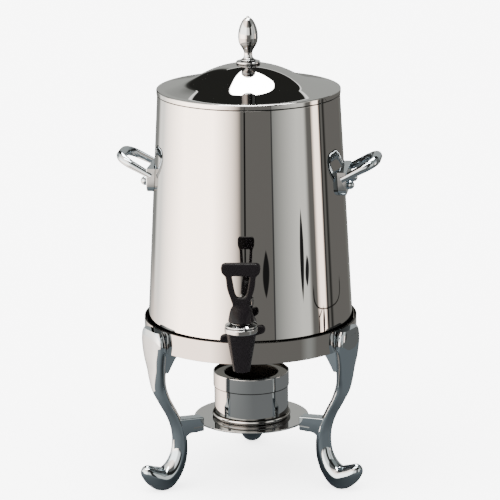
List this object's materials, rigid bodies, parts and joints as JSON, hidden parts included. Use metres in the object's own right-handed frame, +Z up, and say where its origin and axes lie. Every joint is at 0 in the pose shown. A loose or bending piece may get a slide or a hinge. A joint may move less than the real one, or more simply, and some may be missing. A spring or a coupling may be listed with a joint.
{
  "type": "coffee urn",
  "caption": "Insulated coffee urn with a lift-off lid, side handles and a pull-forward tap, standing in a legged stand over a fuel burner.",
  "frame": {"origin": "on the urn's upright axis, at floor level in the middle of the three feet", "axes": "+Z up; the tap points to -Y, so -Y is the front; the two carrying handles stand out along +X and -X, turned 4.5 degrees clockwise seen from above"},
  "size_m": [0.3076, 0.3546, 0.548],
  "materials": {
    "polished_steel": "mirror polished",
    "plain_steel": "satin",
    "chrome_cast": "polished chrome plate",
    "aluminium": "rolled",
    "black_plastic": "satin, heat resistant",
    "silicone": "matt",
    "blanket": "mineral fibre felt"
  },
  "bodies": {
    "stand": {"stand_ring": "polished_steel", "leg_left": "chrome_cast", "leg_right": "chrome_cast", "leg_back": "chrome_cast", "leg_screws": "plain_steel", "burner_plate": "polished_steel", "plate_screws": "plain_steel"},
    "burner": {"burner_cup": "polished_steel"},
    "burner_cover": {"burner_cover": "polished_steel"},
    "urn": {"outer_shell": "polished_steel", "top_deck": "polished_steel", "inner_liner": "plain_steel", "base_pan": "polished_steel", "heat_spreader": "aluminium", "insulation": "blanket", "handle_left": "chrome_cast", "handle_right": "chrome_cast", "handle_screws_left": "chrome_cast", "handle_screws_right": "chrome_cast", "handle_backing_left": "plain_steel", "handle_backing_right": "plain_steel", "tap_shank": "chrome_cast", "shank_gasket": "silicone", "liner_gasket": "silicone", "shank_nut": "plain_steel", "wing_nut": "black_plastic", "tap_body": "black_plastic", "tap_bonnet": "chrome_cast"},
    "tap_lever": {"tap_lever": "black_plastic", "lever_pin": "plain_steel"},
    "tap_stem": {"tap_stem": "plain_steel", "seat_cup": "silicone", "tap_spring": "plain_steel"},
    "lid": {"lid_cover": "polished_steel", "lid_pan": "plain_steel", "lid_insulation": "blanket", "lid_gasket": "silicone", "finial_collar": "chrome_cast", "finial": "chrome_cast", "finial_stud": "plain_steel", "finial_nut": "plain_steel"}
  },
  "joints": [
    {"name": "urn_lift", "type": "slide", "parent": "stand", "child": "urn", "axis": [0, 0, 1], "range_m": [0, 0.12]},
    {"name": "lid_lift", "type": "slide", "parent": "urn", "child": "lid", "axis": [0, 0, 1], "range_m": [0, 0.08]},
    {"name": "burner_slide", "type": "slide", "parent": "stand", "child": "burner", "axis": [0.0523, -0.9986, 0], "range_m": [0, 0.12]},
    {"name": "burner_cover_lift", "type": "slide", "parent": "burner", "child": "burner_cover", "axis": [0, 0, 1], "range_m": [0, 0.035]},
    {"name": "tap_pull", "type": "hinge", "parent": "urn", "child": "tap_lever", "pos_m": [0, -0.20261, 0.2401], "axis": [1, 0, 0], "range_deg": [0, 24], "stiffness_Nm_per_rad": 0.5, "springref_deg": -22.92},
    {"name": "tap_stem_lift", "type": "slide", "parent": "urn", "child": "tap_stem", "axis": [0, 0, 1], "range_m": [0, 0.00525], "deforming": ["tap_spring"]}
  ],
  "couplings": [
    {"joint": "tap_stem_lift", "follows": "tap_pull", "m_per_rad": 0.012441}
  ]
}
